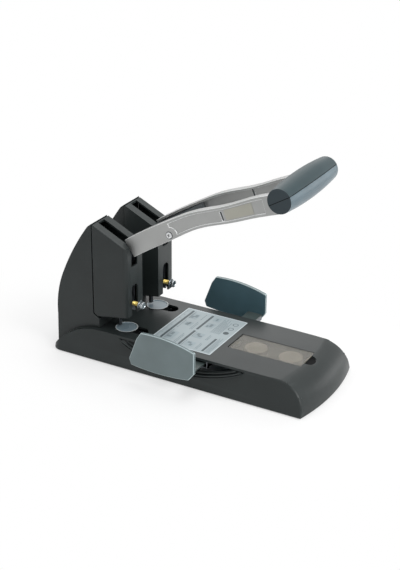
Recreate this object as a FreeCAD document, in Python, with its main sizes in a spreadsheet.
import FreeCAD, Part
import math
import os
import Sketcher
from FreeCAD import Placement, Rotation, Vector

# Two-hole lever punch on a long bed, with two towers, a long double handle and two paper guides.
# Lengths are millimetres and angles are degrees. The origin is the middle of the footprint on
# the bench. +X runs to the nose and the grip, +Z up. The two sides mirror each other in Y.

SIZES = {
    # Base shell, one moulding with the bed as its top
    "shell_length": 390.0,
    "shell_depth": 41.0,
    "shell_flare": 10.0,
    "bed_cover_margin": 7.0,
    "shell_wall": 3.0,
    "rear_corner": 16.0,
    "front_bow": 9.5,
    "nose_radius": 40.0,
    "fender_radius": 90.0,
    "disc_line_setback": 101.5,
    "side_opening_start": 5.0,
    "side_opening_nose_gap": 92.5,
    "side_opening_sag": 25.0,
    "finger_slot_half_width": 9.4,
    "finger_slot_reach": 33.0,
    "boss_radius": 4.5,
    "boss_nose_gap": 48.5,
    "boss_front_side_gap": 12.0,
    "boss_rear": 60.0,
    "boss_rear_side_gap": 11.4,
    # Base plate and feet
    "plate_thickness": 2.5,
    "plate_side_gap": 7.0,
    "plate_rear": 88.0,
    "plate_front_gap": 6.0,
    "foot_height": 1.5,
    "foot_radius": 9.0,
    "foot_edge": 14.0,
    "foot_rear": 70.0,
    "foot_nose_gap": 33.5,
    "screw_radius": 1.5,
    "screw_head_radius": 3.2,
    "screw_head_height": 1.1,
    "screw_depth": 12.0,
    # Rear cover: two hollow fins over a low box
    "cover_reach_out": 20.0,
    "cover_wall": 3.0,
    "cover_back": 100.0,
    "cover_waist_back": 98.9,
    "cover_waist_above": 5.0,
    "cover_shoulder_back": 85.9,
    "cover_shoulder_above": 73.8,
    "cover_brow_back": 46.0,
    "cover_brow_above": 144.5,
    "cover_top_above": 149.0,
    "cover_low_curve_radius": 150.0,
    "cover_high_curve_radius": 360.0,
    "cover_lip_back": 31.0,
    "cover_lip_above": 13.5,
    "cover_seam_above": 19.5,
    "saddle_above": 60.0,
    "cover_clearance": 0.3,
    "cover_seam": 0.4,
    "frame_relief": 1.0,
    # Tower housings
    "tower_reach_in": 19.5,
    "tower_wall": 2.5,
    "tower_back": 40.0,
    "tower_front": 13.8,
    "tower_front_low": 24.0,
    "tower_front_high": 119.2,
    "tower_brow_back": 12.0,
    "tower_brow_above": 124.2,
    "tower_crest_back": 38.0,
    "tower_crest_above": 148.1,
    "tower_heel_back": 34.0,
    "tower_heel_above": 15.5,
    "tower_heel_rise": 20.5,
    "tower_corner": 3.5,
    "tower_edge": 1.5,
    "top_slot_half_width": 7.3,
    "top_slot_back": 37.0,
    "top_slot_sill": 94.5,
    "funnel_half_width": 8.8,
    "funnel_back": 6.0,
    "funnel_sill": 116.0,
    "arch_half_width": 7.5,
    "arch_top": 68.0,
    # Discs under the punches
    "hole_half_spacing": 40.0,
    "disc_radius": 15.6,
    "disc_thickness": 6.0,
    "disc_rim": 1.6,
    "disc_rim_height": 0.7,
    "disc_clearance": 0.3,
    # Press frames
    "cheek_thickness": 3.0,
    "cheek_half_gap": 12.0,
    "frame_front": 6.0,
    "frame_low": 22.0,
    "frame_high": 104.0,
    "frame_peak_back": 24.0,
    "frame_peak": 112.0,
    "frame_hip_back": 46.0,
    "frame_bend_back": 60.0,
    "frame_bend": 70.0,
    "frame_back": 64.0,
    "frame_arm_back_above": 10.0,
    "frame_throat_back": 41.2,
    "frame_arm_front": 16.0,
    "frame_arm_below": 8.0,
    "gib_thickness": 3.0,
    "gib_half_gap": 6.0,
    "gib_low": 30.0,
    "gib_high": 104.0,
    "anvil_front": 12.0,
    "anvil_back": 22.0,
    "anvil_height": 13.7,
    "bush_height": 7.5,
    "bush_low": 20.0,
    # Pivot, crank and ram
    "pivot_back": 35.0,
    "pivot_above": 92.0,
    "pin_radius": 4.0,
    "pin_clearance": 0.05,
    "crank_length": 27.0,
    "crank_drop_angle": 24.0,
    "drive_pin_half_length": 11.0,
    "ram_depth": 18.0,
    "ram_slip": 0.3,
    "ram_low": 30.0,
    "ram_high": 89.0,
    "fork_half_gap": 4.0,
    "fork_low": 66.0,
    "drive_slot_back": 5.3,
    "drive_slot_front": 6.8,
    "drive_slot_height": 8.6,
    "cutter_radius": 3.0,
    "cutter_bore": 2.4,
    "cutter_tip": 2.2,
    "shank_radius": 5.0,
    "shank_length": 22.0,
    "lock_radius": 3.0,
    "lock_above": 39.0,
    "lock_reach": 21.0,
    "knob_radius": 5.0,
    "knob_length": 7.0,
    "knob_skirt": 1.2,
    "knob_skirt_length": 2.0,
    "spring_inner": 4.9,
    "spring_outer": 7.2,
    "spring_gap": 0.3,
    # Levers
    "lever_half_thickness": 3.5,
    "lever_half_height": 8.2,
    "lever_boss": 10.0,
    "lever_lobe": 9.0,
    "lever_slope": 32.1,
    "lever_length": 130.0,
    # Handle arms, bent along one large circle
    "arm_start": 53.9,
    "arm_rear_slope": 34.4,
    "arm_front_slope": 17.2,
    "arm_bend_radius": 820.0,
    "arm_half_height": 12.75,
    "arm_half_thickness": 6.5,
    "arm_web": 3.0,
    "arm_flange": 3.0,
    "arm_nose_corner": 12.0,
    "channel_rear_turn": 1.0,
    "arm_boss": 12.7,
    "panel_depth": 1.2,
    "panel_rim": 3.6,
    "panel_rear_slope": 29.27,
    "screw_step_slope": 28.79,
    "screw_step_outward": 3.95,
    "screw_step_radius": 10.7,
    "groove_rear_slope": 23.73,
    "groove_front_slope": 23.51,
    "groove_depth": 0.9,
    "groove_inward": 8.4,
    "groove_outward": 6.2,
    "panel_front_slope": 19.2,
    "arm_screw_reach": 122.2,
    "arm_screw_slope": 29.55,
    "arm_screw_radius": 2.5,
    "arm_screw_head": 4.25,
    "arm_screw_head_height": 1.8,
    # Grip
    "grip_lead": 6.0,
    "grip_rise": 8.8,
    "grip_overhang": 27.3,
    "grip_radius": 19.2,
    "grip_end_radius": 15.85,
    "grip_wall": 3.0,
    "grip_split_slope": 31.0,
    "grip_entry_gap": 0.3,
    "grip_entry_turn": 0.03,
    "rod_radius": 6.0,
    # Paper guides with racks and a pinion
    "guide_shell_gap": 21.0,
    "guide_thickness": 4.5,
    "guide_toe_back": 81.5,
    "guide_toe_below": 7.0,
    "guide_keel_back": 78.5,
    "guide_keel_ahead": 7.5,
    "guide_keel_below": 15.4,
    "guide_keel_curve_radius": 290.0,
    "guide_heel_ahead": 15.5,
    "guide_heel_below": 5.0,
    "guide_heel_above": 25.0,
    "guide_top_back": 63.5,
    "guide_top_above": 34.0,
    "guide_top_curve_radius": 187.0,
    "guide_shoulder_back": 70.0,
    "guide_shoulder_above": 24.0,
    "guide_bar_half_width": 10.9,
    "guide_bar_below": 6.0,
    "guide_bar_thickness": 2.0,
    "guide_bar_inner": 20.0,
    "rack_height": 5.7,
    "rack_slip": 0.3,
    "gear_module_length": 1.2,
    "tooth_backlash": 0.5,
    "tooth_height_above": 0.95,
    "tooth_depth_below": 1.35,
    "tooth_flank_angle": 20.0,
    "tooth_sink": 0.5,
    "pinion_pin_radius": 2.0,
    "pinion_flange_radius": 4.0,
    "channel_wall": 1.7,
    "channel_side_gap": 5.0,
    # Storage window, tray, spare discs and label
    "window_nose_gap": 37.5,
    "window_length": 106.0,
    "pinion_window_gap": 20.5,
    "window_half_width": 21.4,
    "window_gap": 0.3,
    "window_hinge_gap": 0.6,
    "window_thickness": 2.2,
    "window_sink": 0.4,
    "window_pin_radius": 0.8,
    "window_pin_reach": 1.2,
    "notch_radius": 12.0,
    "notch_depth": 2.4,
    "tray_wall": 2.0,
    "tray_floor_below": 10.0,
    "tray_top_gap": 0.3,
    "tray_overlap": 1.9,
    "spare_edge_gap": 16.0,
    "spare_gap": 19.4,
    "label_start": 43.0,
    "label_window_gap": 9.0,
    "label_side_gap": 13.3,
    "label_thickness": 0.3,
    "label_corner": 4.0,
    # Cuts run this far past the faces that they open
    "overrun": 2.0,
    "skin_overrun": 0.5,
}

PINION_TEETH = 10
RACK_TEETH = 21
# Teeth of each rack that lie past the pinion's axis when the guides stand as photographed
TEETH_PAST_MIDDLE = 15
HALF_TOOTH_SHARE = 0.5

doc = FreeCAD.newDocument("lever_punch")
sheet = doc.addObject("Spreadsheet::Sheet", "Sizes")
for row, (alias, amount) in enumerate(SIZES.items(), start=1):
    sheet.set(f"A{row}", alias)
    sheet.set(f"B{row}", str(amount))
    sheet.setAlias(f"B{row}", alias)
doc.recompute()


class Size:
    """A length or angle with the expression that keeps it tied to the sheet."""

    def __init__(self, value, text):
        self.value = value
        self.text = text

    def __add__(self, other):
        other = sized(other)
        return Size(self.value + other.value, f"({self.text} + {other.text})")

    def __radd__(self, other):
        return sized(other) + self

    def __sub__(self, other):
        other = sized(other)
        return Size(self.value - other.value, f"({self.text} - {other.text})")

    def __rsub__(self, other):
        return sized(other) - self

    def __mul__(self, other):
        other = sized(other)
        return Size(self.value * other.value, f"({self.text} * {other.text})")

    def __rmul__(self, other):
        return sized(other) * self

    def __truediv__(self, other):
        other = sized(other)
        return Size(self.value / other.value, f"({self.text} / {other.text})")

    def __neg__(self):
        return Size(-self.value, f"(0 - {self.text})")


def sized(amount):
    """Return the amount as a Size, with a plain number as its own text."""
    if isinstance(amount, Size):
        return amount
    return Size(float(amount), repr(float(amount)))


class SheetSizes:
    """Gives each cell of the sheet as a Size under its alias."""

    def __getattr__(self, alias):
        return Size(float(sheet.get(alias)), f"Sizes.{alias}")


size = SheetSizes()


def sine(angle):
    angle = sized(angle)
    return Size(math.sin(math.radians(angle.value)), f"sin({angle.text})")


def cosine(angle):
    angle = sized(angle)
    return Size(math.cos(math.radians(angle.value)), f"cos({angle.text})")


def root(amount):
    return Size(math.sqrt(amount.value), f"sqrt({amount.text})")


def bind(item, name, amount):
    """Tie one property of an object to the sheet."""
    item.setExpression(name, sized(amount).text)


class Bow:
    """A corner that an arc leads to, with its radius and the side of the way it bulges to."""

    def __init__(self, corner, radius, side):
        self.corner = corner
        self.radius = radius
        self.side = side


LEFT_OF_WAY = 1
RIGHT_OF_WAY = -1
FULL_TURN = 360


def arc_between(begin, end, radius, side):
    """Return the arc and the numbers of its ends at begin and at end."""
    first = Vector(begin[0].value, begin[1].value, 0)
    last = Vector(end[0].value, end[1].value, 0)
    way = last - first
    half = way.Length / 2
    rise = math.sqrt(max(radius.value ** 2 - half ** 2, 0))
    left = Vector(-way.y, way.x, 0).normalize()
    centre = (first + last) / 2 - left * side * rise
    start, stop = (last, first) if side == LEFT_OF_WAY else (first, last)
    circle = Part.Circle(centre, Vector(0, 0, 1), radius.value)
    turn = [math.atan2(point.y - centre.y, point.x - centre.x) for point in (start, stop)]
    arc = Part.ArcOfCircle(circle, turn[0], turn[1])
    return arc, (2, 1) if side == LEFT_OF_WAY else (1, 2)


def tie_point(sketch, edge, end, corner):
    """Tie one point of the sketch to its two coordinates."""
    for kind, amount in zip(("DistanceX", "DistanceY"), corner):
        number = sketch.addConstraint(Sketcher.Constraint(kind, -1, 1, edge, end, amount.value))
        sketch.setExpression(f"Constraints[{number}]", amount.text)


def tie_radius(sketch, edge, radius):
    number = sketch.addConstraint(Sketcher.Constraint("Radius", edge, radius.value))
    sketch.setExpression(f"Constraints[{number}]", radius.text)


def draw_outline(sketch, outline):
    """Draw a closed outline of lines and arcs with every corner tied to the sheet."""
    corners = [item.corner if isinstance(item, Bow) else item for item in outline]
    corners = [(sized(across), sized(up)) for across, up in corners]
    ends = []
    for index, begin in enumerate(corners):
        item = outline[(index + 1) % len(outline)]
        end = corners[(index + 1) % len(corners)]
        if isinstance(item, Bow):
            arc, pair = arc_between(begin, end, item.radius, item.side)
            edge = sketch.addGeometry(arc)
            tie_radius(sketch, edge, item.radius)
        else:
            pair = (1, 2)
            points = [Vector(across.value, up.value, 0) for across, up in (begin, end)]
            edge = sketch.addGeometry(Part.LineSegment(points[0], points[1]))
        ends.append((edge, pair))
    for index, (edge, pair) in enumerate(ends):
        last_edge, last_pair = ends[index - 1]
        sketch.addConstraint(Sketcher.Constraint("Coincident", last_edge, last_pair[1], edge, pair[0]))
        tie_point(sketch, edge, pair[0], corners[index])


def draw_circle(sketch, centre, radius):
    """Draw a circle with its centre and radius tied to the sheet."""
    centre = [sized(amount) for amount in centre]
    circle = Part.Circle(Vector(centre[0].value, centre[1].value, 0), Vector(0, 0, 1), radius.value)
    edge = sketch.addGeometry(circle)
    tie_point(sketch, edge, 3, centre)
    tie_radius(sketch, edge, radius)


def new_body(name):
    return doc.addObject("PartDesign::Body", name)


def new_sketch(body, plane, offset, outline=None, circles=()):
    """Draw a sketch on one of the body's own planes, moved along the plane's normal."""
    sketch = body.newObject("Sketcher::SketchObject", body.Name + "_sketch")
    flat = next(item for item in body.Origin.OriginFeatures if item.Role == plane + "_Plane")
    sketch.AttachmentSupport = [(flat, "")]
    sketch.MapMode = "FlatFace"
    bind(sketch, "AttachmentOffset.Base.z", offset)
    if outline:
        draw_outline(sketch, outline)
    for centre, radius in circles:
        draw_circle(sketch, centre, radius)
    return sketch


def pad(body, plane, low, high, outline=None, circles=()):
    """Add a slab between two places along the plane's axis. The XZ plane faces -Y."""
    low, high = sized(low), sized(high)
    offset = -high if plane == "XZ" else low
    feature = body.newObject("PartDesign::Pad", body.Name + "_pad")
    feature.Profile = new_sketch(body, plane, offset, outline, circles)
    bind(feature, "Length", high - low)
    body.Tip = feature
    return feature


def pocket(body, plane, low, high, outline=None, circles=()):
    """Take away a slab between two places along the plane's axis. The XZ plane faces -Y."""
    low, high = sized(low), sized(high)
    offset = -low if plane == "XZ" else high
    feature = body.newObject("PartDesign::Pocket", body.Name + "_pocket")
    feature.Profile = new_sketch(body, plane, offset, outline, circles)
    bind(feature, "Length", high - low)
    body.Tip = feature
    return feature


def edges_where(feature, wanted):
    """Name the edges whose two end points and middle all pass the test."""
    doc.recompute()
    names = []
    for number, edge in enumerate(feature.Shape.Edges, start=1):
        points = [vertex.Point for vertex in edge.Vertexes] + [edge.CenterOfMass]
        if all(wanted(point) for point in points):
            names.append(f"Edge{number}")
    return names


def faces_where(feature, wanted):
    """Name the faces whose centre and normal pass the test."""
    doc.recompute()
    names = []
    for number, face in enumerate(feature.Shape.Faces, start=1):
        if wanted(face.CenterOfMass, face.normalAt(0, 0)):
            names.append(f"Face{number}")
    return names


def dress(body, kind, feature, names, radius_name, radius):
    """Add a fillet, chamfer or hollowing to the named edges or faces."""
    item = body.newObject("PartDesign::" + kind, body.Name + "_" + kind.lower())
    item.Base = (feature, names)
    bind(item, radius_name, radius)
    body.Tip = item
    return item


def near(value, amount):
    """True where a coordinate lies on a named place."""
    return abs(value - sized(amount).value) < 0.01


def box(name, along_x, along_y, along_z):
    """A block between a low and a high place on each axis."""
    item = doc.addObject("Part::Box", name)
    for axis, side, (low, high) in zip("xyz", ("Length", "Width", "Height"), (along_x, along_y, along_z)):
        bind(item, side, sized(high) - low)
        bind(item, f"Placement.Base.{axis}", low)
    return item


TURNS = {
    "X": Rotation(Vector(0, 1, 0), 90),
    "Y": Rotation(Vector(1, 0, 0), -90),
    "Z": Rotation(),
}


def cylinder(name, axis, radius, low, high, centre):
    """A round bar from low to high along an axis, centred on its two other coordinates."""
    item = doc.addObject("Part::Cylinder", name)
    item.Placement = Placement(Vector(0, 0, 0), TURNS[axis])
    bind(item, "Radius", radius)
    bind(item, "Height", sized(high) - low)
    bind(item, f"Placement.Base.{axis.lower()}", low)
    others = [letter for letter in "xyz" if letter != axis.lower()]
    for letter, place in zip(others, centre):
        bind(item, f"Placement.Base.{letter}", place)
    return item


def cut(name, base, tool):
    item = doc.addObject("Part::Cut", name)
    item.Base = base
    item.Tool = tool
    return item


def fuse(name, pieces):
    item = doc.addObject("Part::MultiFuse", name)
    item.Shapes = pieces
    return item


def common(name, pieces):
    item = doc.addObject("Part::MultiCommon", name)
    item.Shapes = pieces
    return item


nodes = {}


def keep(name, item):
    """Label a finished sub-part with the name of its file."""
    item.Label = name
    nodes[name] = item
    return item


def rectangle(low_a, high_a, low_b, high_b):
    return [(low_a, low_b), (high_a, low_b), (high_a, high_b), (low_a, high_b)]


# Places that many pieces share
cover_half = size.hole_half_spacing + size.cover_reach_out
tower_inner = size.hole_half_spacing - size.tower_reach_in
bed_half = cover_half + size.bed_cover_margin
shell_half = bed_half + size.shell_flare
plate_half = shell_half - size.plate_side_gap
guide_inner = shell_half + size.guide_shell_gap
disc_line = size.disc_line_setback - size.shell_length / 2
nose_tip = size.shell_length / 2
window_front = nose_tip - size.window_nose_gap
window_rear = window_front - size.window_length
pinion_x = window_rear - size.pinion_window_gap
bed = size.foot_height + size.shell_depth
plate_top = size.foot_height + size.plate_thickness
SIDES = (("left", -1), ("right", 1))


def at(ahead, above):
    """A point of the side view, ahead of the disc line and above the bed."""
    return (disc_line + ahead, bed + above)


def beside(sign, inner, outer):
    """The low and high Y places of a piece on one side."""
    inner, outer = sized(inner), sized(outer)
    return (inner, outer) if sign > 0 else (-outer, -inner)


pivot = at(-size.pivot_back, size.pivot_above)
window_hinge = (
    window_rear + size.window_hinge_gap + size.window_thickness / 2,
    bed - size.window_sink - size.window_thickness / 2,
)
drive_pin = (
    pivot[0] + size.crank_length * cosine(size.crank_drop_angle),
    pivot[1] - size.crank_length * sine(size.crank_drop_angle),
)
punch_x = drive_pin[0]


def shell_form(name, inset):
    """The flared block under its side profile and bowed round nose, drawn in by an inset."""
    rear = inset - size.shell_length / 2
    past_front = size.shell_length / 2 + size.overrun
    flare = new_body(name + "_flare")
    sketches = []
    for half_width, height in ((shell_half, bed - size.shell_depth), (bed_half, bed)):
        side = half_width - inset
        rear_turn = size.rear_corner - inset
        outline = [
            (rear, rear_turn - side),
            Bow((rear + rear_turn, -side), rear_turn, RIGHT_OF_WAY),
            (past_front, -side),
            (past_front, side),
            (rear + rear_turn, side),
            Bow((rear, side - rear_turn), rear_turn, RIGHT_OF_WAY),
        ]
        sketches.append(new_sketch(flare, "XY", height, outline))
    loft = flare.newObject("PartDesign::AdditiveLoft", name + "_loft")
    loft.Profile = sketches[0]
    loft.Sections = [sketches[1]]
    flare.Tip = loft
    fender = size.fender_radius - inset
    fender_drop = size.fender_radius - size.shell_depth
    fender_centre = root(size.fender_radius * size.fender_radius - fender_drop * fender_drop)
    fender_reach = root(fender * fender - fender_drop * fender_drop)
    fender_end = fender_centre - size.shell_length / 2
    floor = bed - size.shell_depth
    side_view = new_body(name + "_side")
    pad(side_view, "XZ", -shell_half, shell_half, [
        (fender_end - fender_reach, floor),
        Bow((fender_end, bed - inset), fender, LEFT_OF_WAY),
        (past_front, bed - inset),
        (past_front, floor),
    ])
    nose = size.nose_radius - inset
    half, bow = shell_half, size.front_bow
    bow_radius = (half * half + bow * bow) / (2 * bow)
    rim = bow_radius - size.nose_radius
    round_nose = new_body(name + "_nose")
    sketch = new_sketch(round_nose, "XZ", sized(0), [
        (sized(0), floor),
        (rim + nose, floor),
        (rim + nose, bed - size.nose_radius),
        Bow((rim, bed - inset), nose, RIGHT_OF_WAY),
        (sized(0), bed - inset),
    ])
    turned = round_nose.newObject("PartDesign::Revolution", name + "_turned")
    turned.Profile = sketch
    turned.ReferenceAxis = (sketch, ["V_Axis"])
    turned.Angle = FULL_TURN
    round_nose.Tip = turned
    bind(round_nose, "Placement.Base.x", size.shell_length / 2 - bow_radius)
    return common(name, [flare, side_view, round_nose])


boss_places = [
    (nose_tip - size.boss_nose_gap, bed_half - size.boss_front_side_gap),
    (nose_tip - size.boss_nose_gap, size.boss_front_side_gap - bed_half),
    (disc_line - size.boss_rear, shell_half - size.boss_rear_side_gap),
    (disc_line - size.boss_rear, size.boss_rear_side_gap - shell_half),
]
screw_top = plate_top + size.screw_depth


def build_base_shell():
    """Hollow moulding, open below, with the bed as its top and four screw bosses."""
    bosses = [
        cylinder(f"boss_{number}", "Z", size.boss_radius, plate_top, bed, place)
        for number, place in enumerate(boss_places, start=1)
    ]
    hollow = cut("shell_hollow", shell_form("shell_inside", size.shell_wall), fuse("bosses", bosses))
    outer = cut("shell_walls", shell_form("shell_outside", sized(0)), hollow)
    cover_slot_side = cover_half + size.cover_clearance
    tools = [
        box("cover_notch",
            (-size.shell_length / 2 - size.overrun, disc_line - size.cover_lip_back + size.cover_clearance),
            (-cover_slot_side, cover_slot_side),
            (-size.overrun, bed + size.overrun)),
    ]
    opening_start = disc_line + size.side_opening_start
    opening_end = nose_tip - size.side_opening_nose_gap
    half = (opening_end - opening_start) / 2
    sag = size.side_opening_sag
    opening = new_body("side_opening")
    opening_radius = (half * half + sag * sag) / (2 * sag)
    opening_top = bed - size.shell_wall
    pad(opening, "XZ", -shell_half - size.overrun, shell_half + size.overrun, [
        (opening_start, opening_top),
        Bow((opening_end, opening_top), opening_radius, RIGHT_OF_WAY),
    ])
    tools.append(opening)
    skin = (bed - size.shell_wall - size.skin_overrun, bed + size.overrun)
    for side, sign in SIDES:
        centre = sign * size.hole_half_spacing
        hole = size.disc_radius + size.disc_clearance
        tools.append(cylinder(f"disc_hole_{side}", "Z", hole, *skin, (disc_line, centre)))
        slot_end = disc_line + size.finger_slot_reach - size.finger_slot_half_width
        slot_side = (centre - size.finger_slot_half_width, centre + size.finger_slot_half_width)
        tools.append(box(f"finger_slot_{side}", (disc_line, slot_end), slot_side, skin))
        tools.append(cylinder(f"finger_slot_end_{side}", "Z", size.finger_slot_half_width, *skin,
                              (slot_end, centre)))
    tools.append(box("window_opening", (window_rear, window_front),
                     (-size.window_half_width, size.window_half_width), skin))
    tools.append(cylinder("window_notch", "Z", size.notch_radius, bed - size.notch_depth,
                          bed + size.overrun, (window_front, sized(0))))
    pin_bore = size.window_half_width + size.window_pin_reach
    tools.append(cylinder("window_pin_bore", "Y", size.window_pin_radius + size.pin_clearance,
                          -pin_bore, pin_bore, window_hinge))
    tools += [
        cylinder(f"boss_bore_{number}", "Z", size.screw_radius + size.pin_clearance,
                 plate_top - size.overrun, screw_top, place)
        for number, place in enumerate(boss_places, start=1)
    ]
    keep("base_shell", cut("shell", outer, fuse("shell_tools", tools)))


def build_base_plate():
    """Steel plate inside the foot of the shell, with a rear tongue under the cover."""
    plate = new_body("plate")
    rear = disc_line - size.cover_back
    front = size.shell_length / 2 - size.front_bow - size.plate_front_gap
    step = disc_line - size.plate_rear
    wide, narrow = plate_half, cover_half
    pad(plate, "XY", size.foot_height, plate_top, [
        (rear, -narrow), (step, -narrow), (step, -wide), (front, -wide),
        (front, wide), (step, wide), (step, narrow), (rear, narrow),
    ])
    bore = size.screw_radius + size.pin_clearance
    pocket(plate, "XY", size.foot_height, plate_top, circles=[(place, bore) for place in boss_places])
    keep("base_plate", plate)


def build_feet():
    for end, ahead in (("rear", disc_line - size.foot_rear), ("front", nose_tip - size.foot_nose_gap)):
        for side, sign in SIDES:
            across = sign * (plate_half - size.foot_edge)
            name = f"foot_{end}_{side}"
            keep(name, cylinder(name + "_pad", "Z", size.foot_radius, sized(0), size.foot_height,
                                (ahead, across)))


def build_base_screws():
    pieces = []
    for number, place in enumerate(boss_places, start=1):
        head_low = size.foot_height - size.screw_head_height
        pieces.append(cylinder(f"screw_head_{number}", "Z", size.screw_head_radius, head_low,
                               size.foot_height, place))
        pieces.append(cylinder(f"screw_shank_{number}", "Z", size.screw_radius, head_low,
                               screw_top, place))
    keep("base_screws", fuse("screws", pieces))


# How far the inner corners of the cover lie from the outer ones, along X and Z, as shares of the wall
COVER_SHOULDER_SHARES = (0.917, 0.399)
COVER_BROW_SHARES = (0.81, 0.586)
COVER_LIP_SHARES = (1.186, 0.547)
SADDLE_REAR_SHARE = 1.5


def build_rear_cover():
    """Shelled moulding: a low box with two fins that close the towers from behind."""
    cover = new_body("cover")
    base = plate_top - bed
    outline = [
        at(-size.cover_back, base),
        at(-size.cover_waist_back, size.cover_waist_above),
        Bow(at(-size.cover_shoulder_back, size.cover_shoulder_above), size.cover_low_curve_radius, LEFT_OF_WAY),
        Bow(at(-size.cover_brow_back, size.cover_brow_above), size.cover_high_curve_radius, LEFT_OF_WAY),
        at(-size.tower_back - size.cover_seam, size.cover_top_above),
        at(-size.tower_back - size.cover_seam, size.cover_seam_above),
        at(-size.cover_lip_back, size.cover_lip_above),
        at(-size.cover_lip_back, base),
    ]
    wall = size.cover_wall
    wide = cover_half
    pad(cover, "XZ", -wide, wide, outline)
    shoulder_in, shoulder_down = COVER_SHOULDER_SHARES
    brow_in, brow_down = COVER_BROW_SHARES
    seam_drop, lip_drop = COVER_LIP_SHARES
    seam_back = -size.tower_back - size.cover_seam
    pocket(cover, "XZ", wall - wide, wide - wall, [
        at(wall - size.cover_back, base - size.overrun),
        at(wall - size.cover_waist_back, size.cover_waist_above),
        Bow(at(wall * shoulder_in - size.cover_shoulder_back,
               size.cover_shoulder_above - wall * shoulder_down), size.cover_low_curve_radius - wall, LEFT_OF_WAY),
        Bow(at(wall * brow_in - size.cover_brow_back, size.cover_brow_above - wall * brow_down),
            size.cover_high_curve_radius - wall, LEFT_OF_WAY),
        at(seam_back + size.overrun, size.cover_top_above - wall),
        at(seam_back + size.overrun, size.cover_seam_above),
        at(seam_back, size.cover_seam_above),
        at(seam_back, size.cover_seam_above - wall * seam_drop),
        at(-size.cover_lip_back - wall, size.cover_lip_above - wall * lip_drop),
        at(-size.cover_lip_back - wall, base - size.overrun),
    ])
    seam = disc_line + seam_back
    saddle_top = bed + size.saddle_above
    pocket(cover, "XZ", -tower_inner, tower_inner, rectangle(
        disc_line - size.cover_back - size.overrun, seam + size.overrun,
        saddle_top, bed + size.cover_top_above + size.overrun))
    for _, sign in SIDES:
        pad(cover, "XZ", *beside(sign, tower_inner, tower_inner + wall), outline)
    saddle_rear = disc_line - size.cover_shoulder_back - wall * SADDLE_REAR_SHARE
    pad(cover, "XZ", -tower_inner, tower_inner,
        rectangle(saddle_rear, seam, saddle_top - wall, saddle_top))
    pad(cover, "XZ", -tower_inner, tower_inner,
        rectangle(seam - wall, seam, bed + size.cover_lip_above, saddle_top))
    lip = disc_line - size.cover_lip_back
    pocket(cover, "XZ", wall - wide, wide - wall,
           rectangle(lip - wall - size.overrun, lip + size.overrun,
                     plate_top - size.overrun, bed - size.shell_wall - size.frame_relief))
    keep("rear_cover", cover)


def build_tower(side, sign):
    """Hollow housing, open behind and below, with slots for the arm and the lock screw."""
    tower = new_body(f"tower_{side}")
    inner, outer = beside(sign, tower_inner, cover_half)
    block = pad(tower, "XZ", inner, outer, [
        at(size.tower_front, size.tower_front_low),
        at(size.tower_front, size.tower_front_high),
        at(size.tower_brow_back, size.tower_brow_above),
        at(-size.tower_crest_back, size.tower_crest_above),
        at(-size.tower_back, size.tower_crest_above - size.tower_edge / 2),
        at(-size.tower_back, size.tower_heel_rise),
        at(-size.tower_heel_back, size.tower_heel_above),
    ])
    outer_face = sign * cover_half
    front = disc_line + size.tower_front
    corner = edges_where(block, lambda point: near(point.x, front) and near(point.y, outer_face))
    bevel = dress(tower, "Chamfer", block, corner, "Size", size.tower_corner)
    open_faces = faces_where(bevel, lambda centre, normal: normal.x < -0.99 or normal.z < -0.7)
    hollow = dress(tower, "Thickness", bevel, open_faces, "Value", size.tower_wall)
    hollow.Reversed = True
    middle = sign * size.hole_half_spacing
    top = bed + size.tower_crest_above + size.overrun
    ahead = front + size.overrun
    pocket(tower, "XY", bed + size.top_slot_sill, top, rectangle(
        disc_line - size.top_slot_back, ahead,
        middle - size.top_slot_half_width, middle + size.top_slot_half_width))
    pocket(tower, "XY", bed + size.funnel_sill, top, rectangle(
        disc_line + size.funnel_back, ahead,
        middle - size.funnel_half_width, middle + size.funnel_half_width))
    arch_centre = bed + size.arch_top - size.arch_half_width
    wall_back = front - size.tower_wall - size.overrun
    pocket(tower, "YZ", wall_back, ahead, rectangle(
        middle - size.arch_half_width, middle + size.arch_half_width,
        bed + size.tower_heel_above, arch_centre))
    pocket(tower, "YZ", wall_back, ahead, circles=[((middle, arch_centre), size.arch_half_width)])
    keep(f"{side}_tower_housing", tower)


cheek_inner = size.hole_half_spacing - size.cheek_half_gap
cheek_outer = size.hole_half_spacing + size.cheek_half_gap
ram_back = punch_x - size.ram_depth / 2
ram_front = punch_x + size.ram_depth / 2


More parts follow.
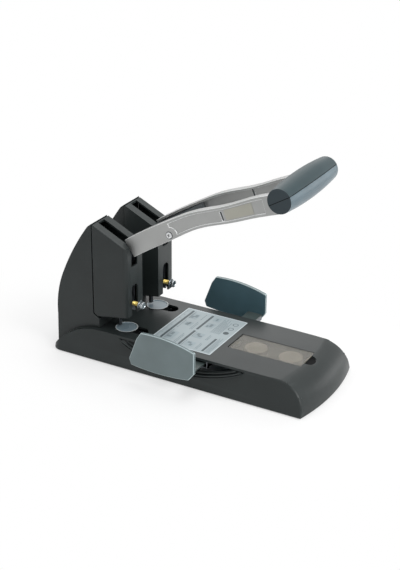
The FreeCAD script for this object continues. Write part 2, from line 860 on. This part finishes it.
def build_press_frame(side, sign):
    """Two C-shaped cheeks joined by four gibs, a bush plate and the anvil."""
    pieces = []
    frame_outline = [
        at(size.frame_front, size.frame_low),
        at(size.frame_front, size.frame_high),
        at(-size.frame_peak_back, size.frame_peak),
        at(-size.frame_hip_back, size.frame_high),
        at(-size.frame_bend_back, size.frame_bend),
        at(-size.frame_back, -size.frame_arm_back_above),
        (disc_line - size.frame_back, plate_top),
        (disc_line + size.frame_arm_front, plate_top),
        at(size.frame_arm_front, -size.frame_arm_below),
        at(-size.frame_throat_back, -size.frame_arm_below),
        at(-size.frame_throat_back, size.frame_low),
    ]
    for place, inner in (("in", cheek_inner - size.cheek_thickness), ("out", cheek_outer)):
        cheek = new_body(f"cheek_{place}_{side}")
        pad(cheek, "XZ", *beside(sign, inner, inner + size.cheek_thickness), frame_outline)
        pieces.append(cheek)
    gib_edge_in = size.hole_half_spacing - size.gib_half_gap
    gib_edge_out = size.hole_half_spacing + size.gib_half_gap
    gib_rows = {
        "rear": (ram_back - size.ram_slip - size.gib_thickness, ram_back - size.ram_slip),
        "front": (ram_front + size.ram_slip, ram_front + size.ram_slip + size.gib_thickness),
    }
    gib_height = (bed + size.gib_low, bed + size.gib_high)
    for row_name, along in gib_rows.items():
        for place, ends in (("in", (cheek_inner, gib_edge_in)), ("out", (gib_edge_out, cheek_outer))):
            pieces.append(box(f"gib_{row_name}_{place}_{side}", along, beside(sign, *ends), gib_height))
    across = beside(sign, cheek_inner, cheek_outer)
    anvil_top = bed - size.disc_thickness
    pieces.append(box(f"anvil_{side}", (disc_line - size.anvil_back, disc_line + size.anvil_front), across,
                      (anvil_top - size.anvil_height, anvil_top)))
    bush_high = bed + size.bush_low + size.bush_height
    pieces.append(box(f"bush_plate_{side}", (ram_back, ram_front), across,
                      (bed + size.frame_low, bush_high)))
    whole = fuse(f"frame_whole_{side}", pieces)
    centre = sign * size.hole_half_spacing
    holes = [
        cylinder(f"pivot_hole_{side}", "Y", size.pin_radius + size.pin_clearance,
                 *beside(sign, cheek_inner - size.cheek_thickness - size.overrun,
                         cheek_outer + size.cheek_thickness + size.overrun), pivot),
        cylinder(f"bush_hole_{side}", "Z", size.shank_radius, bed + size.bush_low - size.overrun,
                 bush_high + size.overrun, (punch_x, centre)),
    ]
    keep(f"{side}_press_frame", cut(f"frame_{side}", whole, fuse(f"frame_holes_{side}", holes)))
    bush = cylinder(f"bush_blank_{side}", "Z", size.shank_radius, bed + size.bush_low, bush_high,
                    (punch_x, centre))
    bore = cylinder(f"bush_bore_{side}", "Z", size.cutter_radius + size.pin_clearance,
                    bed + size.bush_low - size.overrun, bush_high + size.overrun, (punch_x, centre))
    keep(f"{side}_punch_bush", cut(f"bush_{side}", bush, bore))
    keep(f"{side}_pivot_pin", cylinder(
        f"pivot_pin_{side}", "Y", size.pin_radius,
        *beside(sign, cheek_inner - size.cheek_thickness, cheek_outer + size.cheek_thickness), pivot))
    spring_end = size.hole_half_spacing - size.lever_half_thickness - size.spring_gap
    spring_span = beside(sign, cheek_inner, spring_end)
    spring = cut(
        f"spring_{side}",
        cylinder(f"spring_outside_{side}", "Y", size.spring_outer, *spring_span, pivot),
        cylinder(f"spring_inside_{side}", "Y", size.spring_inner, *spring_span, pivot))
    keep(f"{side}_return_spring", spring)


def build_cutting_disc(side, sign):
    """Plastic disc with a raised rim, turned by hand to bring up a fresh place."""
    centre = (disc_line, sign * size.hole_half_spacing)
    low = bed - size.disc_thickness
    top = bed + size.disc_rim_height
    blank = cylinder(f"disc_blank_{side}", "Z", size.disc_radius, low, top, centre)
    dish = cylinder(f"disc_dish_{side}", "Z", size.disc_radius - size.disc_rim, bed, top + size.overrun,
                    centre)
    keep(f"{side}_cutting_disc", cut(f"disc_{side}", blank, dish))


def build_storage():
    """Tray under the window with two spare discs lying on its floor."""
    rear, front = window_rear, window_front
    top = bed - size.shell_wall - size.tray_top_gap
    floor = bed - size.tray_floor_below
    half = size.window_half_width
    outside = box("tray_outside", (rear - size.tray_overlap, front + size.tray_overlap),
                  (-half - size.tray_wall, half + size.tray_wall), (floor - size.tray_wall, top))
    inside = box("tray_inside", (rear, front), (-half, half), (floor, top + size.overrun))
    keep("disc_tray", cut("tray", outside, inside))
    rear_centre = rear + size.spare_edge_gap + size.disc_radius
    front_centre = rear_centre + size.disc_radius + size.spare_gap + size.disc_radius
    for end, centre_x in (("rear", rear_centre), ("front", front_centre)):
        name = f"spare_disc_{end}"
        centre = (centre_x, sized(0))
        rim_top = floor + size.disc_thickness + size.disc_rim_height
        blank = cylinder(f"{name}_blank", "Z", size.disc_radius, floor, rim_top, centre)
        dish = cylinder(f"{name}_dish", "Z", size.disc_radius - size.disc_rim,
                        floor + size.disc_thickness, rim_top + size.overrun, centre)
        keep(name, cut(f"{name}_part", blank, dish))


def build_label():
    label = new_body("label")
    half = bed_half - size.label_side_gap
    ends = (disc_line + size.label_start, window_rear - size.label_window_gap)
    plain = pad(label, "XY", bed, bed + size.label_thickness, rectangle(
        *ends, -half, half))
    corners = edges_where(plain, lambda point: near(abs(point.y), half)
                          and any(near(point.x, end) for end in ends))
    dress(label, "Fillet", plain, corners, "Radius", size.label_corner)
    keep("instruction_label", label)


def build_ram(side, sign):
    """Sliding block with a fork for the lever, a drive slot and its hollow punch pin."""
    centre = sign * size.hole_half_spacing
    half_width = size.cheek_half_gap - size.ram_slip
    low, high = bed + size.ram_low, bed + size.ram_high
    across = beside(sign, size.hole_half_spacing - half_width, size.hole_half_spacing + half_width)
    block = box(f"ram_block_{side}", (ram_back, ram_front), across, (low, high))
    past = (ram_back - size.overrun, ram_front + size.overrun)
    slot_half = size.drive_slot_height / 2
    lock_height = bed + size.lock_above
    shank_top = low + size.shank_length
    tools = [
        box(f"fork_{side}", past, (centre - size.fork_half_gap, centre + size.fork_half_gap),
            (bed + size.fork_low, high + size.overrun)),
        box(f"drive_slot_{side}", (punch_x - size.drive_slot_back, punch_x + size.drive_slot_front),
            (across[0] - size.overrun, across[1] + size.overrun),
            (drive_pin[1] - slot_half, drive_pin[1] + slot_half)),
        cylinder(f"shank_bore_{side}", "Z", size.shank_radius + size.pin_clearance,
                 low - size.overrun, shank_top + size.pin_clearance, (punch_x, centre)),
        cylinder(f"lock_bore_{side}", "X", size.lock_radius + size.pin_clearance,
                 punch_x, ram_front + size.overrun, (centre, lock_height)),
    ]
    keep(f"{side}_ram", cut(f"ram_{side}", block, fuse(f"ram_tools_{side}", tools)))
    tip = bed + size.cutter_tip
    solid = fuse(f"punch_solid_{side}", [
        cylinder(f"cutter_{side}", "Z", size.cutter_radius, tip, shank_top, (punch_x, centre)),
        cylinder(f"shank_{side}", "Z", size.shank_radius, low, shank_top, (punch_x, centre)),
    ])
    bore = cylinder(f"chip_bore_{side}", "Z", size.cutter_bore, tip - size.overrun,
                    shank_top + size.overrun, (punch_x, centre))
    keep(f"{side}_punch_pin", cut(f"punch_{side}", solid, bore))
    screw_start = punch_x + size.shank_radius + 2 * size.pin_clearance
    screw_end = disc_line + size.lock_reach
    place = (centre, lock_height)
    keep(f"{side}_lock_screw",
         cylinder(f"lock_{side}", "X", size.lock_radius, screw_start, screw_end, place))
    keep(f"{side}_lock_knob", fuse(f"knob_{side}", [
        cylinder(f"knob_head_{side}", "X", size.knob_radius, screw_end, screw_end + size.knob_length, place),
        cylinder(f"knob_skirt_{side}", "X", size.knob_radius + size.knob_skirt, screw_end,
                 screw_end + size.knob_skirt_length, place),
    ]))


arm_rear = (
    pivot[0] + size.arm_start * cosine(size.lever_slope),
    pivot[1] + size.arm_start * sine(size.lever_slope),
)
bend_centre = (
    arm_rear[0] + size.arm_bend_radius * sine(size.arm_rear_slope),
    arm_rear[1] - size.arm_bend_radius * cosine(size.arm_rear_slope),
)


def on_bend(slope, outward):
    """A point beside the arm's centre line, where the line has the given slope."""
    reach = size.arm_bend_radius + outward
    return (bend_centre[0] - reach * sine(slope), bend_centre[1] + reach * cosine(slope))


def bent_bar(half_height, rear_slope, front_slope):
    """Outline of a bar that follows the arm's bend."""
    return bent_strip(-half_height, half_height, rear_slope, front_slope)


def bent_strip(low, high, rear_slope, front_slope):
    """Outline of a strip along the arm's bend, between two distances outside its centre line."""
    return [
        on_bend(rear_slope, low),
        Bow(on_bend(front_slope, low), size.arm_bend_radius + low, LEFT_OF_WAY),
        on_bend(front_slope, high),
        Bow(on_bend(rear_slope, high), size.arm_bend_radius + high, RIGHT_OF_WAY),
    ]


arm_end = on_bend(size.arm_front_slope, sized(0))
grip_axis = (
    arm_end[0] + size.grip_lead * cosine(size.arm_front_slope) - size.grip_rise * sine(size.arm_front_slope),
    arm_end[1] + size.grip_lead * sine(size.arm_front_slope) + size.grip_rise * cosine(size.arm_front_slope),
)
arm_inner = size.hole_half_spacing - size.arm_half_thickness
arm_outer = size.hole_half_spacing + size.arm_half_thickness
arm_screw = (
    pivot[0] + size.arm_screw_reach * cosine(size.arm_screw_slope),
    pivot[1] + size.arm_screw_reach * sine(size.arm_screw_slope),
)


def build_handle_arm(side, sign):
    """Bent arm with a channel inside, a grooved panel outside and an eye for the rod."""
    arm = new_body(f"arm_{side}")
    bar = pad(arm, "XZ", *beside(sign, arm_inner, arm_outer),
              bent_bar(size.arm_half_height, size.arm_rear_slope, size.arm_front_slope))
    low_corner = on_bend(size.arm_front_slope, -size.arm_half_height)
    corner = edges_where(bar, lambda point: near(point.x, low_corner[0]) and near(point.z, low_corner[1]))
    dress(arm, "Fillet", bar, corner, "Radius", size.arm_nose_corner)
    channel_half = size.arm_half_height - size.arm_flange
    pocket(arm, "XZ", *beside(sign, arm_inner - size.overrun, arm_outer - size.arm_web),
           bent_bar(channel_half, size.arm_rear_slope + size.channel_rear_turn, size.panel_front_slope))
    panel_half = size.arm_half_height - size.panel_rim
    outside = beside(sign, arm_outer - size.panel_depth, arm_outer + size.overrun)
    pocket(arm, "XZ", *outside, [
        on_bend(size.panel_rear_slope, size.screw_step_outward),
        Bow(on_bend(size.screw_step_slope, -panel_half), size.screw_step_radius, LEFT_OF_WAY),
        Bow(on_bend(size.panel_front_slope, -panel_half), size.arm_bend_radius - panel_half, LEFT_OF_WAY),
        on_bend(size.panel_front_slope, panel_half),
        Bow(on_bend(size.panel_rear_slope, panel_half), size.arm_bend_radius + panel_half, RIGHT_OF_WAY),
    ])
    groove = (size.groove_rear_slope, size.groove_front_slope)
    web_inner = arm_outer - size.arm_web
    pad(arm, "XZ", *beside(sign, web_inner - size.groove_depth, web_inner), bent_bar(channel_half, *groove))
    pocket(arm, "XZ", *beside(sign, arm_outer - size.panel_depth - size.groove_depth, arm_outer + size.overrun),
           bent_strip(-size.groove_inward, size.groove_outward, *groove))
    eye = cylinder(f"eye_{side}", "Y", size.arm_boss, *beside(sign, arm_inner, arm_outer), grip_axis)
    tools = fuse(f"arm_holes_{side}", [
        cylinder(f"rod_hole_{side}", "Y", size.rod_radius + size.pin_clearance,
                 *beside(sign, arm_inner - size.overrun, arm_outer + size.overrun), grip_axis),
        cylinder(f"arm_screw_hole_{side}", "Y", size.arm_screw_radius + size.pin_clearance,
                 *beside(sign, arm_inner - size.overrun, arm_outer + size.overrun), arm_screw),
    ])
    keep(f"{side}_handle_arm", cut(f"arm_part_{side}", fuse(f"arm_solid_{side}", [arm, eye]), tools))


def build_lever(side, sign):
    """Steel plate with a boss on the pivot, a lobe for the drive pin and a strip inside the arm."""
    span = beside(sign, size.hole_half_spacing - size.lever_half_thickness,
                  size.hole_half_spacing + size.lever_half_thickness)
    strip = new_body(f"strip_{side}")
    along = (cosine(size.lever_slope), sine(size.lever_slope))
    half = size.lever_half_height
    foot = (pivot[0] + half * along[1], pivot[1] - half * along[0])
    head = (pivot[0] - half * along[1], pivot[1] + half * along[0])
    reach = (size.lever_length * along[0], size.lever_length * along[1])
    pad(strip, "XZ", *span, [foot, (foot[0] + reach[0], foot[1] + reach[1]),
                             (head[0] + reach[0], head[1] + reach[1]), head])
    crank = new_body(f"crank_{side}")
    down = (cosine(size.crank_drop_angle), sine(size.crank_drop_angle))
    lobe = size.lever_lobe
    pad(crank, "XZ", *span, [
        (pivot[0] - lobe * down[1], pivot[1] - lobe * down[0]),
        (drive_pin[0] - lobe * down[1], drive_pin[1] - lobe * down[0]),
        (drive_pin[0] + lobe * down[1], drive_pin[1] + lobe * down[0]),
        (pivot[0] + lobe * down[1], pivot[1] + lobe * down[0]),
    ])
    whole = fuse(f"lever_whole_{side}", [
        strip, crank,
        cylinder(f"lever_boss_{side}", "Y", size.lever_boss, *span, pivot),
        cylinder(f"lever_lobe_{side}", "Y", lobe, *span, drive_pin),
    ])
    past = (span[0] - size.overrun, span[1] + size.overrun)
    pin_hole = size.pin_radius + size.pin_clearance
    holes = fuse(f"lever_holes_{side}", [
        cylinder(f"lever_pivot_hole_{side}", "Y", pin_hole, *past, pivot),
        cylinder(f"lever_drive_hole_{side}", "Y", pin_hole, *past, drive_pin),
        cylinder(f"lever_screw_hole_{side}", "Y", size.arm_screw_radius + size.pin_clearance,
                 *past, arm_screw),
    ])
    keep(f"{side}_lever", cut(f"lever_{side}", whole, holes))
    keep(f"{side}_drive_pin", cylinder(
        f"drive_pin_{side}", "Y", size.pin_radius,
        *beside(sign, size.hole_half_spacing - size.drive_pin_half_length,
                size.hole_half_spacing + size.drive_pin_half_length), drive_pin))


def build_arm_screws():
    pieces = []
    for side, sign in SIDES:
        head_top = arm_outer + size.arm_screw_head_height
        pieces.append(cylinder(f"arm_screw_head_{side}", "Y", size.arm_screw_head,
                               *beside(sign, arm_outer, head_top), arm_screw))
        pieces.append(cylinder(f"arm_screw_shank_{side}", "Y", size.arm_screw_radius,
                               *beside(sign, size.hole_half_spacing - size.lever_half_thickness, head_top),
                               arm_screw))
    keep("arm_screws", fuse("arm_screw_pair", pieces))


def build_grip():
    """Barrel in two half shells that clasp the rod and the ends of the arms."""
    reach = size.hole_half_spacing + size.grip_overhang
    bulge = size.grip_radius - size.grip_end_radius
    curve = (reach * reach + bulge * bulge) / (2 * bulge)
    inner_reach = reach - size.grip_wall
    inner_end = size.grip_end_radius - size.grip_wall
    inner_curve = (inner_reach * inner_reach + bulge * bulge) / (2 * bulge)
    entry = new_body("arm_entry")
    entry_half = size.arm_half_height + size.grip_entry_gap
    for side, sign in SIDES:
        pad(entry, "XZ", *beside(sign, arm_inner - size.grip_entry_gap, arm_outer + size.grip_entry_gap),
            bent_bar(entry_half, size.panel_front_slope, size.arm_front_slope - size.grip_entry_turn))
    for name, turn in (("upper_grip_half", sized(0)), ("lower_grip_half", sized(180))):
        half = new_body(name + "_shell")
        sketch = new_sketch(half, "XY", sized(0), [
            (sized(0), -reach),
            (size.grip_end_radius, -reach),
            Bow((size.grip_end_radius, reach), curve, RIGHT_OF_WAY),
            (sized(0), reach),
            (sized(0), inner_reach),
            (inner_end, inner_reach),
            Bow((inner_end, -inner_reach), inner_curve, LEFT_OF_WAY),
            (sized(0), -inner_reach),
        ])
        shell = half.newObject("PartDesign::Revolution", name + "_turned")
        shell.Profile = sketch
        shell.ReferenceAxis = (sketch, ["V_Axis"])
        shell.Angle = 180
        half.Tip = shell
        half.Placement = Placement(Vector(0, 0, 0), Rotation(Vector(0, 1, 0), 1))
        bind(half, "Placement.Rotation.Angle", turn - size.grip_split_slope)
        bind(half, "Placement.Base.x", grip_axis[0])
        bind(half, "Placement.Base.z", grip_axis[1])
        keep(name, cut(name + "_part", half, entry))
    keep("grip_rod", cylinder("rod", "Y", size.rod_radius, -inner_reach, inner_reach, grip_axis))


pitch_radius = size.gear_module_length * PINION_TEETH / 2
tooth_pitch = size.gear_module_length * math.pi
tooth_half = (tooth_pitch / 2 - size.tooth_backlash) / 2
flank_lean = sine(size.tooth_flank_angle) / cosine(size.tooth_flank_angle)
tooth_above = size.tooth_height_above * size.gear_module_length
tooth_below = size.tooth_depth_below * size.gear_module_length
rack_top = bed - size.guide_bar_below - size.guide_bar_thickness - size.rack_slip
rack_low = rack_top - size.rack_height


def build_guide(side, sign):
    """Upright paper guide on a flat bar, with a toothed rack below that reaches past the middle."""
    guide = new_body(f"guide_{side}")
    outer = guide_inner + size.guide_thickness
    keel = bed - size.guide_keel_below
    heel = pinion_x + size.guide_heel_ahead
    pad(guide, "XZ", *beside(sign, guide_inner, outer), [
        (pinion_x - size.guide_keel_back, keel),
        Bow((pinion_x + size.guide_keel_ahead, keel), size.guide_keel_curve_radius, RIGHT_OF_WAY),
        (heel, bed - size.guide_heel_below),
        (heel, bed + size.guide_heel_above),
        Bow((pinion_x - size.guide_top_back, bed + size.guide_top_above),
            size.guide_top_curve_radius, RIGHT_OF_WAY),
        (pinion_x - size.guide_shoulder_back, bed + size.guide_shoulder_above),
        (pinion_x - size.guide_toe_back, bed - size.guide_toe_below),
    ])
    bar_top = bed - size.guide_bar_below
    pad(guide, "XY", bar_top - size.guide_bar_thickness, bar_top, rectangle(
        pinion_x - size.guide_bar_half_width, pinion_x + size.guide_bar_half_width,
        *beside(sign, size.guide_bar_inner, guide_inner)))
    keep(f"{side}_paper_guide", guide)

    def out(across):
        """A place measured from the pinion's axis towards the rack."""
        return pinion_x + sign * across

    rack = new_body(f"rack_{side}")
    root_line = pitch_radius + tooth_below
    back_line = size.guide_bar_half_width - size.rack_slip
    ends = beside(sign, -tooth_pitch * TEETH_PAST_MIDDLE, guide_inner)
    pad(rack, "XY", rack_low, rack_top, rectangle(out(root_line), out(back_line), *ends))
    seat_low = size.guide_bar_inner
    pad(rack, "XY", rack_top - size.rack_slip, bar_top - size.guide_bar_thickness, rectangle(
        out(root_line), out(back_line), *beside(sign, seat_low, guide_inner)))
    tip_line = pitch_radius - tooth_above
    start = -sign * tooth_pitch * (TEETH_PAST_MIDDLE - HALF_TOOTH_SHARE)
    tooth = pad(rack, "XY", rack_low, rack_top, [
        (out(tip_line), start - tooth_half + tooth_above * flank_lean),
        (out(tip_line), start + tooth_half - tooth_above * flank_lean),
        (out(root_line + size.tooth_sink), start + tooth_half + tooth_below * flank_lean),
        (out(root_line + size.tooth_sink), start - tooth_half - tooth_below * flank_lean),
    ])
    row = rack.newObject("PartDesign::LinearPattern", f"rack_row_{side}")
    row.Originals = [tooth]
    row.Direction = (tooth.Profile[0], ["V_Axis"])
    row.Reversed = sign < 0
    bind(row, "Length", tooth_pitch * (RACK_TEETH - 1))
    row.Occurrences = RACK_TEETH
    rack.Tip = row
    keep(f"{side}_guide_rack", rack)


def build_pinion():
    """Gear between the two racks, on a pin that is riveted into the channel."""
    gear = new_body("gear")
    centre = (pinion_x, sized(0))
    middle = (sized(0), sized(0))
    hub = pitch_radius - tooth_below
    pad(gear, "XY", rack_low, rack_top, circles=[(middle, hub)])
    tip = pitch_radius + tooth_above
    foot = hub - size.tooth_sink
    tooth = pad(gear, "XY", rack_low, rack_top, [
        (foot, -tooth_half - tooth_below * flank_lean),
        (tip, tooth_above * flank_lean - tooth_half),
        (tip, tooth_half - tooth_above * flank_lean),
        (foot, tooth_half + tooth_below * flank_lean),
    ])
    ring = gear.newObject("PartDesign::PolarPattern", "gear_ring")
    ring.Originals = [tooth]
    ring.Axis = (tooth.Profile[0], ["N_Axis"])
    ring.Angle = FULL_TURN
    ring.Occurrences = PINION_TEETH
    gear.Tip = ring
    bind(gear, "Placement.Base.x", pinion_x)
    bore = cylinder("gear_bore", "Z", size.pinion_pin_radius + size.pin_clearance,
                    rack_low - size.overrun, rack_top + size.overrun, centre)
    keep("guide_pinion", cut("gear_part", gear, bore))
    channel_top = rack_low - size.rack_slip
    channel_low = channel_top - size.channel_wall
    keep("pinion_post", fuse("post", [
        cylinder("post_pin", "Z", size.pinion_pin_radius, channel_low, rack_top, centre),
        cylinder("post_foot", "Z", size.pinion_flange_radius, channel_low - size.channel_wall,
                 channel_low, centre),
    ]))
    half_channel = size.guide_bar_half_width + size.rack_slip
    along = bed_half - size.channel_side_gap
    trough = cut(
        "channel_trough",
        box("channel_block", (pinion_x - half_channel - size.channel_wall,
                              pinion_x + half_channel + size.channel_wall),
            (-along, along), (channel_low, bed - size.shell_wall)),
        box("channel_inside", (pinion_x - half_channel, pinion_x + half_channel),
            (-along - size.overrun, along + size.overrun), (channel_top, bed + size.overrun)))
    rivet_hole = cylinder("channel_hole", "Z", size.pinion_pin_radius + size.pin_clearance,
                          channel_low - size.overrun, channel_top + size.overrun, centre)
    keep("guide_channel", cut("channel", trough, rivet_hole))


def build_window():
    """Smoked cover plate over the tray, with a round rear edge between two hinge pins."""
    window = new_body("window")
    half = size.window_half_width - size.window_gap
    top = bed - size.window_sink
    pad(window, "XY", top - size.window_thickness, top, rectangle(
        window_hinge[0], window_front - size.window_gap, -half, half))
    pin_end = half + size.window_pin_reach
    keep("storage_window", fuse("window_on_pins", [
        window,
        cylinder("window_barrel", "Y", size.window_thickness / 2, -half, half, window_hinge),
        cylinder("window_pins", "Y", size.window_pin_radius, -pin_end, pin_end, window_hinge),
    ]))


build_base_shell()
build_base_plate()
build_feet()
build_base_screws()
build_rear_cover()
for side_name, side_sign in SIDES:
    build_tower(side_name, side_sign)
    build_press_frame(side_name, side_sign)
    build_cutting_disc(side_name, side_sign)
    build_ram(side_name, side_sign)
    build_handle_arm(side_name, side_sign)
    build_lever(side_name, side_sign)
    build_guide(side_name, side_sign)
build_arm_screws()
build_grip()
build_storage()
build_label()
build_pinion()
build_window()
doc.recompute()

for item in doc.Objects:
    if "Invalid" in item.State or "Error" in item.State:
        raise RuntimeError(f"{item.Label} failed: {item.State}")
    if item.TypeId == "PartDesign::Pocket" and item.Shape.Volume >= item.BaseFeature.Shape.Volume:
        raise RuntimeError(f"{item.Label} cuts nothing")
for name, item in nodes.items():
    if item.Label != name or item.Shape.isNull() or not item.Shape.isValid():
        raise RuntimeError(f"{name} has no valid shape")

os.makedirs("parts", exist_ok=True)
for name, item in nodes.items():
    item.Shape.exportStep(f"parts/{name}.step")
    print(f"{name}: {len(item.Shape.Solids)} solid, {item.Shape.Volume:.0f} mm3")
